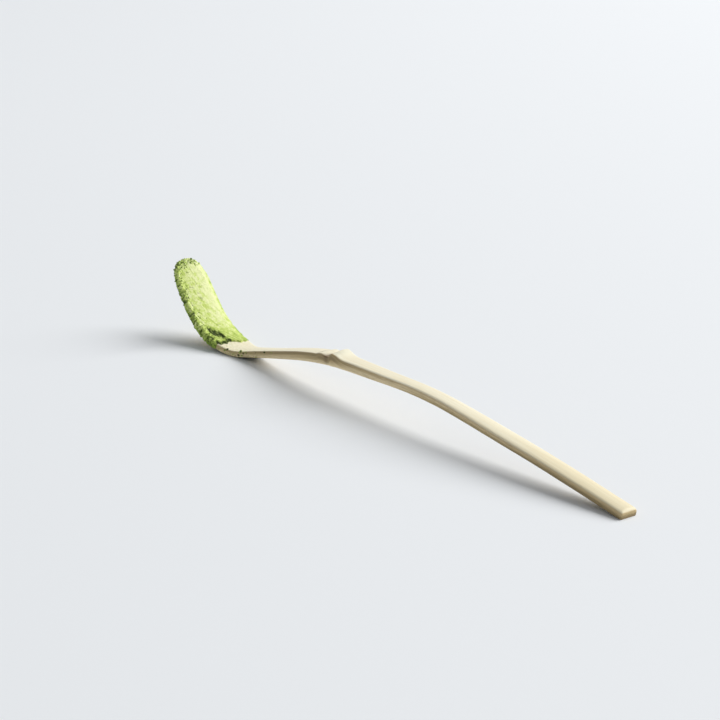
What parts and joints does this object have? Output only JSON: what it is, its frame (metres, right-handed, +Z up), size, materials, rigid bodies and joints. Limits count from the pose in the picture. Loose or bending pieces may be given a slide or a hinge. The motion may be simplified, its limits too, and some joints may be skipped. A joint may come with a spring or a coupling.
{
  "type": "tea scoop",
  "caption": "Carved and bent bamboo tea scoop resting on its heel and handle end, with an upturned bowl that carries a coat of powdered green tea and a node ridge along its shaft.",
  "frame": {"origin": "on the table, under the middle of the scoop's box", "axes": "+X from the bowl to the cut end of the handle, +Y across the strip, +Z up"},
  "size_m": [0.1793, 0.0106, 0.0215],
  "materials": {
    "bamboo": "smooth scraped bamboo, satin skin on the face and matt fibres on the cut sides",
    "matcha": "matt fine powder"
  },
  "bodies": {
    "root": {"bamboo_scoop": "bamboo", "matcha_coat": "matcha", "tip_crumbs": "matcha", "foot_crumbs": "matcha"}
  },
  "joints": []
}
